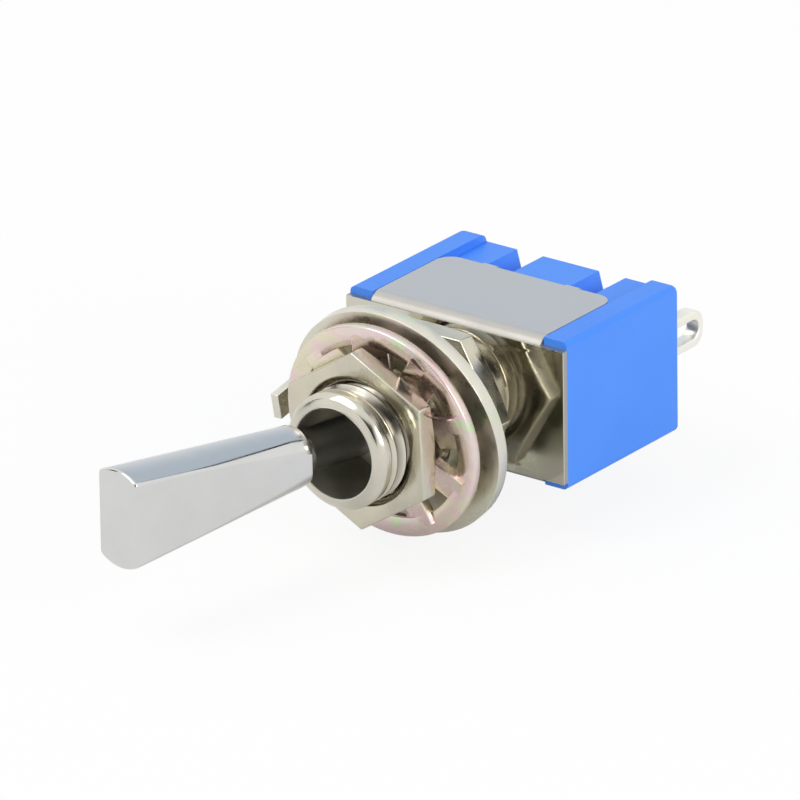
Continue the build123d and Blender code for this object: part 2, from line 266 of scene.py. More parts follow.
key_lamp = lamp("Key lamp", (-0.25, -0.35, 0.65), 0.45, 2.2)
right_lamp = lamp("Right lamp", (0.75, -0.15, 0.35), 0.40, 2.6)
print("Lamps, W:", [round(light.data.energy, 1) for light in (key_lamp, right_lamp)])

# %% [markdown]
# ## Finishes
# Each finish is built from what made the real surface. Plating follows the metal under it, so it
# shows the tool marks of a turned part and the grain of a rolled sheet. Two effects are used by
# several finishes, so each is a node group: smudges from handling, and the rings that a lathe
# leaves. A group is wired once, and each finish places it with its own values.

# %% Smudges


def group_with(name, inputs, outputs):
    """A shader node group with named number inputs and outputs."""
    tree = bpy.data.node_groups.new(name, "ShaderNodeTree")
    for title, value in inputs.items():
        socket = tree.interface.new_socket(title, in_out="INPUT", socket_type="NodeSocketFloat")
        socket.default_value = value
    for title in outputs:
        tree.interface.new_socket(title, in_out="OUTPUT", socket_type="NodeSocketFloat")
    return tree, tree.nodes.new("NodeGroupInput"), tree.nodes.new("NodeGroupOutput")


def handling_marks():
    """Smudges that dull a bright surface in patches."""
    tree, given, result = group_with("Handling marks", {"Smudge Scale": 300}, ("Smudge",))
    spot = node(tree, "ShaderNodeTexCoord")
    smudge = node(tree, "ShaderNodeTexNoise", Detail=4, Roughness=0.6)
    spread = node(tree, "ShaderNodeMapRange")
    spread.inputs["From Min"].default_value = 0.38
    spread.inputs["From Max"].default_value = 0.68
    wire(tree, (spot, "Object", smudge, "Vector"), (given, "Smudge Scale", smudge, "Scale"),
         (smudge, 0, spread, "Value"), (spread, 0, result, "Smudge"))
    return tree


marks = handling_marks()
print("Node group:", marks.name)

# %% Lathe rings


def lathe_rings():
    """Uneven fine rings about the bushing's axis, with the distance from it and the place along it."""
    tree, given, result = group_with("Lathe rings", {"Ring Scale": 4000}, ("Height", "Radius", "Along"))
    spot = node(tree, "ShaderNodeTexCoord")
    parts = node(tree, "ShaderNodeSeparateXYZ")
    flat = node(tree, "ShaderNodeCombineXYZ")
    radius = node(tree, "ShaderNodeVectorMath", operation="LENGTH")
    line = node(tree, "ShaderNodeCombineXYZ")
    rings = node(tree, "ShaderNodeTexNoise", Detail=3, Roughness=0.7)
    wire(tree, (spot, "Object", parts, 0), (parts, "X", flat, "X"), (parts, "Z", flat, "Y"),
         (flat, 0, radius, 0), (radius, "Value", line, "X"), (parts, "Y", line, "Y"),
         (radius, "Value", result, "Radius"), (parts, "Y", result, "Along"),
         (line, 0, rings, "Vector"), (given, "Ring Scale", rings, "Scale"), (rings, 0, result, "Height"))
    return tree


rings = lathe_rings()
print("Node group:", rings.name)

# %% Helpers for finishes


def use_group(tree, group, **values):
    """Places a node group in a material's tree with its own values."""
    made = tree.nodes.new("ShaderNodeGroup")
    made.node_tree = group
    for key, value in values.items():
        made.inputs[key.replace("_", " ")].default_value = value
    return made


def principled(tree, **values):
    """The surface shader and the output, joined."""
    surface = tree.nodes.new("ShaderNodeBsdfPrincipled")
    for key, value in values.items():
        surface.inputs[key.replace("_", " ")].default_value = value
    out = tree.nodes.new("ShaderNodeOutputMaterial")
    tree.links.new(surface.outputs[0], out.inputs[0])
    return surface


def mixed_colour(tree, fac_node, fac_output, first, second):
    """A colour between two, by a mask."""
    mix = tree.nodes.new("ShaderNodeMix")
    mix.data_type = "RGBA"
    mix.inputs[6].default_value = (*first, 1)
    mix.inputs[7].default_value = (*second, 1)
    tree.links.new(fac_node.outputs[fac_output], mix.inputs[0])
    return mix


def ranged(tree, source, output, low, high, from_low=0.0, from_high=1.0):
    """Maps a mask onto a range."""
    made = tree.nodes.new("ShaderNodeMapRange")
    made.inputs["From Min"].default_value = from_low
    made.inputs["From Max"].default_value = from_high
    made.inputs["To Min"].default_value = low
    made.inputs["To Max"].default_value = high
    tree.links.new(source.outputs[output], made.inputs["Value"])
    return made


def bumped(tree, source, output, surface, strength, distance):
    """Turns a height into a bump on a surface."""
    bump = tree.nodes.new("ShaderNodeBump")
    bump.inputs["Strength"].default_value = strength
    bump.inputs["Distance"].default_value = distance
    tree.links.new(source.outputs[output], bump.inputs["Height"])
    tree.links.new(bump.outputs[0], surface.inputs["Normal"])


print("Node groups:", len(bpy.data.node_groups))

# %% [markdown]
# ### Bright plating
# A metal shows its surroundings, tinted, so nickel is a cream mirror and chrome a neutral one. A
# single flat roughness looks like a computer picture, so smudges dull it in patches, and the rings
# of the lathe give it a fine bump. Plating is thin in a bore, so it is duller there. The root of a
# thread is painted darker behind the nose, as painted shade between the crests. The rings group
# gives the distance from the axis, and a mask over it picks out the bore and the groove.

# %% Bright plating
bore_tint = (0.70, 0.68, 0.61)
bore_roughness = 0.20
# Colour of the painted shade that darkens the thread's groove.
groove_painted_shade = (0.30, 0.27, 0.22)
nose_land = (-9.25 * MM, -9.10 * MM)
soft_edge = 0.02 * MM
ring_depth = 0.00002


def plated_metal(name, tint, worn_tint, roughness, ring_strength, bore=0.0, root=0.0, crest=0.0):
    """Bright plating with smudges, duller inside a bore, and with painted shade between a thread's root
    and crest.
    """
    material = new_material(name)
    tree = material.node_tree
    surface = principled(tree, Metallic=1.0)
    handled = use_group(tree, marks, Smudge_Scale=420)
    turned = use_group(tree, rings, Ring_Scale=5200)
    tinted = mixed_colour(tree, handled, "Smudge", tint, worn_tint)
    rough = ranged(tree, handled, "Smudge", roughness * 0.7, roughness * 1.6)
    inside = ranged(tree, turned, "Radius", 1.0, 0.0, bore, bore + soft_edge)
    dulled = mixed_colour(tree, inside, 0, tint, bore_tint)
    # Mask of the painted shade: between the thread's root and crest, behind the nose.
    low = ranged(tree, turned, "Radius", 1.0, 0.0, root, crest + soft_edge)
    behind_nose = ranged(tree, turned, "Along", 0.0, 1.0, *nose_land)
    groove_shade_mask = node(tree, "ShaderNodeMath", operation="MULTIPLY")
    groove_shaded = mixed_colour(tree, groove_shade_mask, 0, tint, groove_painted_shade)
    duller = node(tree, "ShaderNodeMath", operation="MULTIPLY_ADD")
    duller.inputs[1].default_value = bore_roughness if bore else 0.0
    wire(tree, (low, 0, groove_shade_mask, 0), (behind_nose, 0, groove_shade_mask, 1), (tinted, 2, groove_shaded, 6),
         (groove_shaded, 2, dulled, 6), (dulled, 2, surface, "Base Color"), (inside, 0, duller, 0),
         (rough, 0, duller, 2), (duller, 0, surface, "Roughness"))
    bumped(tree, turned, "Height", surface, ring_strength, ring_depth)
    return material


nickel = plated_metal("Nut nickel", (0.66, 0.62, 0.50), (0.58, 0.55, 0.45), 0.20, 0.30)
bushing_nickel = plated_metal("Bushing nickel", (0.67, 0.64, 0.55), (0.60, 0.57, 0.49), 0.16, 0.40,
                              bore=2.34 * MM, root=2.66 * MM, crest=2.94 * MM)
chrome = plated_metal("Lever chrome", (0.68, 0.68, 0.665), (0.65, 0.655, 0.645), 0.10, 0.0)
print("Platings:", nickel.name, bushing_nickel.name, chrome.name)

# %% [markdown]
# ### Nickel on the folded sheet
# The bracket is punched and folded from sheet that was plated flat or in a barrel. Its front plate
# is a mirror, its legs are satin from rolling, and the outside of the fold is stretched, which
# leaves it duller. The fold is also painted darker, as painted shade that dims the lamp's highlight
# along it. All three are one material, with masks over the depth behind the front plate, because
# that is where the real surface changes.

# %% Nickel on the folded sheet
plate_tint = (0.66, 0.63, 0.54)
leg_tint = (0.62, 0.62, 0.61)
# Colour of the painted shade on the fold, which dims the lamp's highlight there.
fold_painted_shade = (0.42, 0.405, 0.375)
skin_depth = 0.02 * MM
fold_front = 0.10 * MM
sheet_thickness = 0.35 * MM
fold_back = 0.80 * MM


def sheet_nickel():
    """The bracket: a mirror on its front plate, and satin on its legs."""
    material = new_material("Bracket nickel")
    tree = material.node_tree
    surface = principled(tree, Metallic=1.0)
    handled = use_group(tree, marks, Smudge_Scale=350)
    spot = node(tree, "ShaderNodeTexCoord")
    parts = node(tree, "ShaderNodeSeparateXYZ")
    wire(tree, (spot, "Object", parts, 0))
    leg = ranged(tree, parts, "Y", 0.0, 1.0, skin_depth, sheet_thickness)
    before_leg = ranged(tree, parts, "Y", 1.0, 0.0, sheet_thickness, fold_back)
    after_plate = ranged(tree, parts, "Y", 0.0, 1.0, skin_depth, fold_front)
    fold = node(tree, "ShaderNodeMath", operation="MULTIPLY")
    wire(tree, (before_leg, 0, fold, 0), (after_plate, 0, fold, 1))
    plain = mixed_colour(tree, leg, 0, plate_tint, leg_tint)
    # Painted shade: the fold's mask darkens the fold towards the shade colour.
    tinted = mixed_colour(tree, fold, 0, leg_tint, fold_painted_shade)
    leg_rough = ranged(tree, leg, 0, 0.06, 0.34)
    fold_rough = node(tree, "ShaderNodeMath", operation="MULTIPLY_ADD")
    fold_rough.inputs[1].default_value = 0.22
    patch = node(tree, "ShaderNodeMath", operation="MULTIPLY_ADD")
    patch.inputs[1].default_value = 0.07
    wire(tree, (plain, 2, tinted, 6), (fold, 0, fold_rough, 0), (leg_rough, 0, fold_rough, 2),
         (handled, "Smudge", patch, 0), (fold_rough, 0, patch, 2), (patch, 0, surface, "Roughness"),
         (tinted, 2, surface, "Base Color"))
    grain = node(tree, "ShaderNodeTexNoise", Scale=2600, Detail=3, Roughness=0.6)
    wire(tree, (spot, "Object", grain, "Vector"))
    deep = node(tree, "ShaderNodeMath", operation="MULTIPLY")
    wire(tree, (grain, 0, deep, 0), (leg, 0, deep, 1))
    bumped(tree, deep, 0, surface, 0.35, 0.00003)
    return material


bracket_finish = sheet_nickel()
print("Bracket finish:", bracket_finish.name)

# %% [markdown]
# ### Passivated zinc
# Both washers are steel with zinc plating under a thin passivation film. The film's thickness
# drifts over the part, and each thickness gives its own tint, from straw to pink to green. So a
# slow noise runs through a row of tints, as the film does, and not through one colour.

# %% Passivated zinc


def passivated_zinc(name, tints, low_rough, high_rough):
    """Zinc with a clear passivation: soft patches of the tints that a thin film gives."""
    material = new_material(name)
    tree = material.node_tree
    surface = principled(tree, Metallic=1.0)
    handled = use_group(tree, marks, Smudge_Scale=520)
    spot = node(tree, "ShaderNodeTexCoord")
    film = node(tree, "ShaderNodeTexNoise", Scale=260, Detail=3, Roughness=0.55, Distortion=0.8)
    bands = node(tree, "ShaderNodeValToRGB")
    ramp = bands.color_ramp
    for element, (position, colour) in zip(ramp.elements, (tints[0], tints[-1])):
        element.position = position
        element.color = (*colour, 1)
    for position, colour in tints[1:-1]:
        ramp.elements.new(position).color = (*colour, 1)
    rough = ranged(tree, handled, "Smudge", low_rough, high_rough)
    wire(tree, (spot, "Object", film, "Vector"), (film, 0, bands, 0), (bands, 0, surface, "Base Color"),
         (rough, 0, surface, "Roughness"))
    pits = node(tree, "ShaderNodeTexNoise", Scale=3200, Detail=2, Roughness=0.6)
    wire(tree, (spot, "Object", pits, "Vector"))
    bumped(tree, pits, 0, surface, 0.25, 0.00002)
    return material


pink_zinc = passivated_zinc("Pink zinc", (
    (0.30, (0.74, 0.73, 0.50)), (0.41, (0.80, 0.72, 0.58)), (0.48, (0.83, 0.64, 0.64)),
    (0.54, (0.79, 0.71, 0.62)), (0.60, (0.81, 0.64, 0.67)), (0.66, (0.62, 0.77, 0.50)),
    (0.73, (0.76, 0.73, 0.56))), 0.16, 0.36)
pale_zinc = passivated_zinc("Pale zinc", (
    (0.30, (0.73, 0.74, 0.59)), (0.45, (0.77, 0.77, 0.64)), (0.58, (0.75, 0.71, 0.63)),
    (0.72, (0.69, 0.75, 0.57))), 0.26, 0.46)
print("Zinc finishes:", pink_zinc.name, pale_zinc.name)

# %% [markdown]
# ### Silver and plain steel
# The lugs and contacts are silvered brass, which is paler and duller than nickel so that it takes
# solder. The pin and the spring are bare steel. Both use the plating from above, with other values.

# %% Silver and plain steel
silver = plated_metal("Silvered brass", (0.92, 0.91, 0.86), (0.88, 0.86, 0.77), 0.45, 0.0)
steel = plated_metal("Drawn steel", (0.50, 0.50, 0.50), (0.42, 0.42, 0.42), 0.28, 0.2)
print("Other metals:", silver.name, steel.name)

# %% [markdown]
# ### Moulded finishes
# The blue case is a moulded plastic with a fine spark texture. Its colour drifts a little, and the
# faces have a soft sheen. The sealing compound between the lugs is cast, so it is smooth and wavy.

# %% Moulded finishes


def moulded_plastic(name, colour, deep_colour, roughness, grain_scale, grain_depth):
    """A moulded plastic with a fine texture and a slight drift in its colour."""
    material = new_material(name)
    tree = material.node_tree
    surface = principled(tree, Metallic=0.0, Specular_IOR_Level=0.4)
    spot = node(tree, "ShaderNodeTexCoord")
    drift = node(tree, "ShaderNodeTexNoise", Scale=180, Detail=3, Roughness=0.5)
    grain = node(tree, "ShaderNodeTexNoise", Scale=grain_scale, Detail=3, Roughness=0.65)
    wire(tree, (spot, "Object", drift, "Vector"), (spot, "Object", grain, "Vector"))
    tinted = mixed_colour(tree, drift, 0, deep_colour, colour)
    rough = ranged(tree, grain, 0, roughness * 0.85, roughness * 1.15, 0.3, 0.7)
    wire(tree, (tinted, 2, surface, "Base Color"), (rough, 0, surface, "Roughness"))
    bumped(tree, grain, 0, surface, 0.3, grain_depth)
    return material


blue_plastic = moulded_plastic(
    "Blue case plastic", (0.066, 0.275, 0.93), (0.052, 0.24, 0.87), 0.42, 5200, 0.00002)
nose_plastic = moulded_plastic(
    "Nose plastic", (0.78, 0.74, 0.66), (0.70, 0.66, 0.58), 0.40, 3000, 0.00001)
seal_resin = moulded_plastic(
    "Sealing compound", (0.03, 0.03, 0.035), (0.05, 0.05, 0.06), 0.22, 500, 0.00008)
print("Materials:", len(bpy.data.materials))

# %% [markdown]
# ## Helpers for shapes
# A solid whose shape is right is kept: its copy is merged and gets rounded edges, because no real
# edge is perfectly sharp, and a thin highlight along the edges is what makes a part look real.

# %% Objects and meshes
merge_distance = 1e-7


def add_object(name, mesh):
    """Links a mesh as an object at the origin."""
    made = bpy.data.objects.new(name, mesh)
    scene.collection.objects.link(made)
    return made


def mesh_from(name, points, faces):
    """A mesh from millimetre points, with its normals facing out."""
    mesh = bpy.data.meshes.new(name)
    mesh.from_pydata([Vector(p) * MM for p in points], [], faces)
    shape = bmesh.new()
    shape.from_mesh(mesh)
    bmesh.ops.remove_doubles(shape, verts=shape.verts, dist=merge_distance)
    bmesh.ops.recalc_face_normals(shape, faces=shape.faces)
    shape.to_mesh(mesh)
    shape.free()
    return mesh


def copy_of_solid(node_name, name):
    """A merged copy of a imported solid, with its flat faces in one piece."""
    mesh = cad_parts[node_name].data.copy()
    mesh.name = name
    shape = bmesh.new()
    shape.from_mesh(mesh)
    bmesh.ops.remove_doubles(shape, verts=shape.verts, dist=2 * merge_distance)
    bmesh.ops.dissolve_limit(shape, angle_limit=radians(0.5), verts=shape.verts, edges=shape.edges)
    shape.to_mesh(mesh)
    shape.free()
    if mesh.has_custom_normals:
        mesh.attributes.remove(mesh.attributes["custom_normal"])
    return add_object(name, mesh)


def apply_modifiers(made):
    """Turns the evaluated shape into a plain mesh."""
    bpy.context.view_layer.update()
    ready = made.evaluated_get(bpy.context.evaluated_depsgraph_get())
    mesh = bpy.data.meshes.new_from_object(ready)
    made.modifiers.clear()
    made.data = mesh


print("Solids in the frame:", len(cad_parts))

# %% Finish and shading
sharp_angle = 40
flat_weight = 80


def set_finish(made, material):
    """Gives a piece one material."""
    made.data.materials.clear()
    made.data.materials.append(material)


def keep_flats(made):
    """Takes the shading of a small rounded edge from the large faces beside it."""
    flat = made.modifiers.new("Flat faces", "WEIGHTED_NORMAL")
    flat.weight = flat_weight
    flat.keep_sharp = True


def shade_by_angle(made, angle):
    """Smooth shading with sharp edges above an angle, and flat faces kept flat."""
    made.data.polygons.foreach_set("use_smooth", [True] * len(made.data.polygons))
    made.data.set_sharp_from_angle(angle=radians(angle))
    keep_flats(made)


print("Edges that stay sharp, degrees:", sharp_angle)

# %% [markdown]
# Rounding the edges moves the outline of each flat face. Blender then fills a face of many corners
# and holes as it finds it, and can lay a triangle outside the outline. So these faces are filled
# anew from their outlines, in a fixed order, which gives the same triangles on each run.

# %% Flat faces
same_plane = 0.99999
many_corners = 6


def flat_patch(start):
    """The faces that lie in one plane with a face and join it."""
    patch = {start}
    waiting = [start]
    while waiting:
        face = waiting.pop()
        for edge in face.edges:
            for other in edge.link_faces:
                if other not in patch and other.normal.dot(start.normal) > same_plane:
                    patch.add(other)
                    waiting.append(other)
    return patch


def refill_flats(made):
    """Fills each many-cornered flat face anew, round its holes, after its outline has moved."""
    shape = bmesh.new()
    shape.from_mesh(made.data)
    wide = [face for face in shape.faces if len(face.verts) > many_corners]
    while wide:
        patch = flat_patch(wide[0])
        normal = wide[0].normal.copy()
        wide = [face for face in wide if face not in patch]
        shape.edges.index_update()
        edges = sorted({edge for face in patch for edge in face.edges}, key=lambda edge: edge.index)
        outline = [edge for edge in edges if sum(face in patch for face in edge.link_faces) == 1]
        inner = [edge for edge in edges if sum(face in patch for face in edge.link_faces) != 1]
        bmesh.ops.delete(shape, geom=list(patch), context="FACES_ONLY")
        bmesh.ops.delete(shape, geom=inner, context="EDGES")
        bmesh.ops.triangle_fill(shape, use_beauty=True, edges=outline, normal=normal)
    shape.to_mesh(made.data)
    shape.free()


print("Faces filled anew have more corners than:", many_corners)

# %% Rounded edges
edge_segments = 3
edge_angle = 32


def round_edges(made, width):
    """Rounds the sharp edges, fills the flat faces anew and sets the shading."""
    bevel = made.modifiers.new("Rounded edges", "BEVEL")
    bevel.width = width
    bevel.segments = edge_segments
    bevel.limit_method = "ANGLE"
    bevel.angle_limit = radians(edge_angle)
    bevel.miter_outer = "MITER_ARC"
    bevel.loop_slide = False
    bevel.use_clamp_overlap = True
    apply_modifiers(made)
    refill_flats(made)
    shade_by_angle(made, sharp_angle)


def dress(node_name, name, body, material, width):
    """A copy of a solid with rounded edges and a finish, in the solid's place."""
    made = copy_of_solid(node_name, name)
    set_finish(made, material)
    round_edges(made, width * MM)
    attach(made, body)
    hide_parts(node_name)
    return made


print("Edges that are rounded, degrees:", edge_angle)

# %% Turned shapes and cutting tools


def turned_points(profile, steps):
    """Points and faces of a closed profile of (radius, y), turned about the Y axis."""
    points = []
    faces = []
    count = len(profile)
    for step in range(steps):
        angle = 2 * pi * step / steps
        points += [(radius * cos(angle), y, radius * sin(angle)) for radius, y in profile]
    for step in range(steps):
        near = step * count
        far = (step + 1) % steps * count
        for index in range(count):
            after = (index + 1) % count
            faces.append((near + index, far + index, far + after, near + after))
    return points, faces


def cut(made, other, operation):
    """Applies a boolean with another object, and removes that object."""
    modifier = made.modifiers.new("Cut", "BOOLEAN")
    modifier.operation = operation
    modifier.solver = "EXACT"
    modifier.object = other
    apply_modifiers(made)
    bpy.data.objects.remove(other)


def block_object(name, low, high):
    """A box between two corners in millimetres, as a cutting tool."""
    ends = tuple(zip(low, high))
    points = [(x, y, z) for x in ends[0] for y in ends[1] for z in ends[2]]
    faces = [(0, 1, 3, 2), (4, 6, 7, 5), (0, 4, 5, 1), (2, 3, 7, 6), (0, 2, 6, 4), (1, 5, 7, 3)]
    return add_object(name, mesh_from(name, points, faces))


# %% [markdown]
# ## Case, bracket and lugs
# The case, the folded bracket and the lugs keep the shapes of their solids. Only their edges
# change: the plastic's are soft, the folded sheet's are thin and bright.

# %% Case, bracket and lugs
case = dress("housing", "case", "frame", blue_plastic, 0.08)
bracket = dress("bracket", "folded_bracket", "frame", bracket_finish, 0.05)
dress("terminal_seal", "lug_seal", "frame", seal_resin, 0.03)
for side in ("left", "common", "right"):
    dress("terminal_" + side, "solder_lug_" + side, "frame", silver, 0.08)
for side in ("left", "right"):
    dress("contact_pad_" + side, "fixed_contact_" + side, "frame", silver, 0.04)
    dress("rocker_tip_" + side, "domed_contact_" + side, "rocker", silver, 0.03)
dress("rocker_contact", "rocker_strip", "rocker", silver, 0.04)
dress("plunger", "sliding_nose", "plunger", nose_plastic, 0.05)
dress("lever_pin", "cross_pin", "lever", steel, 0.05)
print("Case and bracket faces:", len(case.data.polygons), len(bracket.data.polygons))

# %% [markdown]
# ## Threaded bushing
# The barrel of a panel switch is turned from brass bar, and its thread is cut or rolled. A
# surface that climbs one pitch on each turn is the true shape of a thread, so its rows follow the
# helix and meet themselves one pitch further on. The groove fades out at both ends of its run, as
# a cut thread does. The nose, the bore and the stake are turned rings on the same columns.

# %% Threaded bushing
thread_pitch = 0.75
thread_depth = 0.42
barrel_radius = 3.0
nose_face = -9.5
plate_face = 0.0
groove_front = -9.12
groove_rear = -0.28
front_fade = 0.45
rear_fade = 0.25
columns = 144
groove_rows = (
    (0.000, 0.030), (0.018, 0.006), (0.040, 0.0), (0.085, 0.0), (0.107, 0.006), (0.125, 0.030),
    (0.345, 0.390), (0.375, thread_depth), (0.495, thread_depth), (0.525, 0.390),
)


def fade(y):
    """How deep the groove is at a place along the barrel, from 0 to 1."""
    front = min(max((y - groove_front) / front_fade, 0), 1)
    rear = min(max((groove_rear - y) / rear_fade, 0), 1)
    share = min(front, rear)
    return share * share * (3 - 2 * share)


def barrel_outside(front, rear):
    """Points and faces of the threaded outside between two places along the axis."""
    per_turn = len(groove_rows)
    turns = int((rear - front) / thread_pitch) + 3
    rows = per_turn * turns
    points = []
    for column in range(columns):
        angle = 2 * pi * column / columns
        for row in range(rows):
            offset, depth = groove_rows[row % per_turn]
            y = front + thread_pitch * (row // per_turn - 1 - column / columns) + offset
            y = min(max(y, front), rear)
            radius = barrel_radius - depth * fade(y)
            points.append((radius * cos(angle), y, radius * sin(angle)))
    faces = []
    for column in range(columns - 1):
        for row in range(rows - 1):
            near, far = column * rows + row, (column + 1) * rows + row
            faces.append((near, far, far + 1, near + 1))
    last = (columns - 1) * rows
    for row in range(rows - per_turn - 1):
        faces.append((last + row + per_turn, row, row + 1, last + row + per_turn + 1))
    return points, faces


outside, outside_faces = barrel_outside(nose_face, plate_face)
print("Points on the thread:", len(outside))

# %% Bore, slots and keyway
nose_and_bore = (
    (3.0, nose_face), (2.985, -9.53), (2.80, -9.745), (2.775, -9.767), (2.745, -9.784),
    (2.42, -9.893), (2.385, -9.9), (2.35, -9.893), (2.33, -9.875), (2.32, -9.84), (2.32, -5.82),
    (2.30, -5.80), (1.68, -5.80), (1.65, -5.78), (1.637, -5.74), (1.637, -5.30), (1.80, -5.16),
    (2.00, -4.75), (2.05, -4.3), (2.05, -2.05), (2.30, -2.05), (2.30, 0.68), (2.32, 0.70),
    (2.88, 0.70), (2.90, 0.68), (2.90, 0.37), (2.88, 0.35), (2.60, 0.35), (2.60, plate_face),
    (3.0, plate_face),
)


def barrel_rings(profile, start):
    """Rings of an open profile on the thread's columns, joined to each other."""
    count = len(profile)
    points = [(radius * cos(2 * pi * column / columns), y, radius * sin(2 * pi * column / columns))
              for column in range(columns) for radius, y in profile]
    faces = [(start + column * count + row, start + (column + 1) % columns * count + row,
              start + (column + 1) % columns * count + row + 1, start + column * count + row + 1)
             for column in range(columns) for row in range(count - 1)]
    return points, faces


inside, inside_faces = barrel_rings(nose_and_bore, len(outside))
barrel = mesh_from("threaded_bushing", outside + inside, outside_faces + inside_faces)
bushing = add_object("threaded_bushing", barrel)
keyway = block_object("keyway_tool", (-3.6, -10.5, -0.65), (-2.62, -0.6, 0.65))
cut(bushing, keyway, "DIFFERENCE")
pin_slot = block_object("pin_slot_tool", (-0.55, -4.65, -2.36), (0.55, -1.5, 2.36))
cut(bushing, pin_slot, "DIFFERENCE")
shade_by_angle(bushing, 34)
set_finish(bushing, bushing_nickel)
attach(bushing, "frame")
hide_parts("bushing")
print("Bushing faces:", len(bushing.data.polygons))

# %% [markdown]
# ## Lever
# The lever is one turned and milled piece: a cone with two flats, a thin neck, the ball that it
# tips on, and a tail with a socket for the spring. Each cross-section is worked out from the cone
# and the flats, with a small fillet where they meet, and the sections are joined along its length.

# %% Lever
lean = radians(11.25)
forward = Vector((-sin(lean), -cos(lean), 0))
sideways = Vector((cos(lean), -sin(lean), 0))
pivot_y = -4.1
pivot = Vector((0, pivot_y, 0))
flat_half = 1.38
flat_fillet = 0.25


def section(reach, radius, flat=flat_half, fillet=flat_fillet):
    """The outline of the lever at a distance from its pivot: a circle cut by two flats."""
    flat = min(flat, radius)
    fillet = min(fillet, 0.6 * flat)
    height = sqrt(max((radius - fillet)**2 - (flat - fillet)**2, 0))
    turn_end = atan2(height, flat - fillet)
    quarter = []
    for step in range(9):
        angle = turn_end * step / 8
        quarter.append((flat - fillet + fillet * cos(angle), height + fillet * sin(angle)))
    for step in range(1, 15):
        angle = turn_end + (pi / 2 - turn_end) * step / 14
        quarter.append((radius * cos(angle), radius * sin(angle)))
    half = quarter + [(-x, z) for x, z in reversed(quarter[:-1])]
    outline = half + [(-x, -z) for x, z in half]
    middle = pivot + forward * reach
    return [middle + sideways * x + Vector((0, 0, z)) for x, z in outline]


print("Lever leans, degrees:", round(degrees(lean), 2))

# %% Lever's cone and shoulder
tip_reach = 18.5
tip_edge = 0.16
tip_radius = 2.56
neck_reach = 7.15
cone_foot = 1.55
neck_fillet = 0.85
fillet_reach = 13.0
foot_edge = 0.035
shoulder_length = 0.37
shoulder_foot = 1.14


def corner_fillet(reach):
    """How round the corners of the flats are: the cone runs almost full round at the neck."""
    share = min(max((fillet_reach - reach) / (fillet_reach - neck_reach), 0), 1)
    return flat_fillet + (neck_fillet - flat_fillet) * share


def cone_radius(reach):
    """The lever's own radius at a distance from its pivot."""
    return cone_foot + (tip_radius - cone_foot) * (reach - neck_reach) / (tip_reach - neck_reach)


sections = []
flat_end = tip_reach - tip_edge
for step in range(7):
    angle = pi / 2 * (1 - step / 6)
    inset = tip_edge * (1 - cos(angle))
    reach = flat_end + tip_edge * sin(angle)
    sections.append(section(reach, cone_radius(reach) - inset, flat_half - inset))
for step in range(1, 12):
    reach = flat_end + (neck_reach + 0.09 - flat_end) * step / 11
    sections.append(section(reach, cone_radius(reach), flat_half, corner_fillet(reach)))
for ahead, inset in ((0.06, 0.004), (0.03, 0.016), (0.0, foot_edge)):
    reach = neck_reach + ahead
    sections.append(section(reach, cone_radius(reach) - inset, flat_half - inset, neck_fillet))
for step in range(1, 10):
    share = step / 9
    reach = neck_reach - shoulder_length * share
    radius = (cone_foot - foot_edge) * (1 - share) + shoulder_foot * share
    half = (flat_half - foot_edge) * (1 - share) + shoulder_foot * share
    sections.append(section(reach, radius, half, neck_fillet))
print("Sections to the neck:", len(sections))

# %% Lever's neck, ball and tail
neck_radius = 1.10
ball_radius = 1.95
ball_start = 0.62
ball_end = pi - 0.66
no_flats = 9
tail_radius = 1.20
tail_end = -6.30
socket_radius = 0.75
socket_end = -3.0
neck_rows = (
    (6.74, 1.115), (6.68, neck_radius), (4.2, neck_radius), (2.1, neck_radius), (1.85, 1.13),
    (1.70, tail_radius),
)
tail_rows = (
    (-1.62, tail_radius), (-6.22, tail_radius), (-6.28, 1.17), (tail_end, 1.12), (tail_end, 0.82),
    (-6.28, 0.77), (-6.22, socket_radius), (socket_end, socket_radius),
)
for reach, radius in neck_rows:
    sections.append(section(reach, radius))
for step in range(25):
    angle = ball_start + (ball_end - ball_start) * step / 24
    sections.append(section(ball_radius * cos(angle), ball_radius * sin(angle), no_flats))
for reach, radius in tail_rows:
    sections.append(section(reach, radius))
print("Sections:", len(sections))

# %% Lever's mesh
pin_hole_radius = 0.5
pin_hole_half = 3
ring = len(sections[0])
lever_points = [point for outline in sections for point in outline]
lever_faces = [tuple(range(ring))]
for index in range(len(sections) - 1):
    for step in range(ring):
        near, far = index * ring + step, index * ring + (step + 1) % ring
        lever_faces.append((near, far, far + ring, near + ring))
lever_faces.append(tuple(reversed(range(len(lever_points) - ring, len(lever_points)))))
lever = add_object("flat_lever", mesh_from("flat_lever", lever_points, lever_faces))
pin_profile = [(0, -pin_hole_half), (pin_hole_radius, -pin_hole_half),
               (pin_hole_radius, pin_hole_half), (0, pin_hole_half)]
turned_hole, hole_faces = turned_points(pin_profile, 48)
pin_hole = [(x, z + pivot_y, y) for x, y, z in turned_hole]
pin_tool = add_object("pin_hole_tool", mesh_from("pin_hole_tool", pin_hole, hole_faces))
cut(lever, pin_tool, "DIFFERENCE")
shade_by_angle(lever, 38)
set_finish(lever, chrome)
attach(lever, "lever")
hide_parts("lever")
print("Lever faces:", len(lever.data.polygons))

# %% [markdown]
# ## Lock washer and spring
# The teeth of the lock washer repeat round it, and the spring is a coil with a number of turns, so
# both are made with geometry nodes. One tooth is twisted out of the ring's plane towards its tip,
# as a press does it, and the nodes set it out round the ring and join it on.

# %% Helpers for geometry nodes


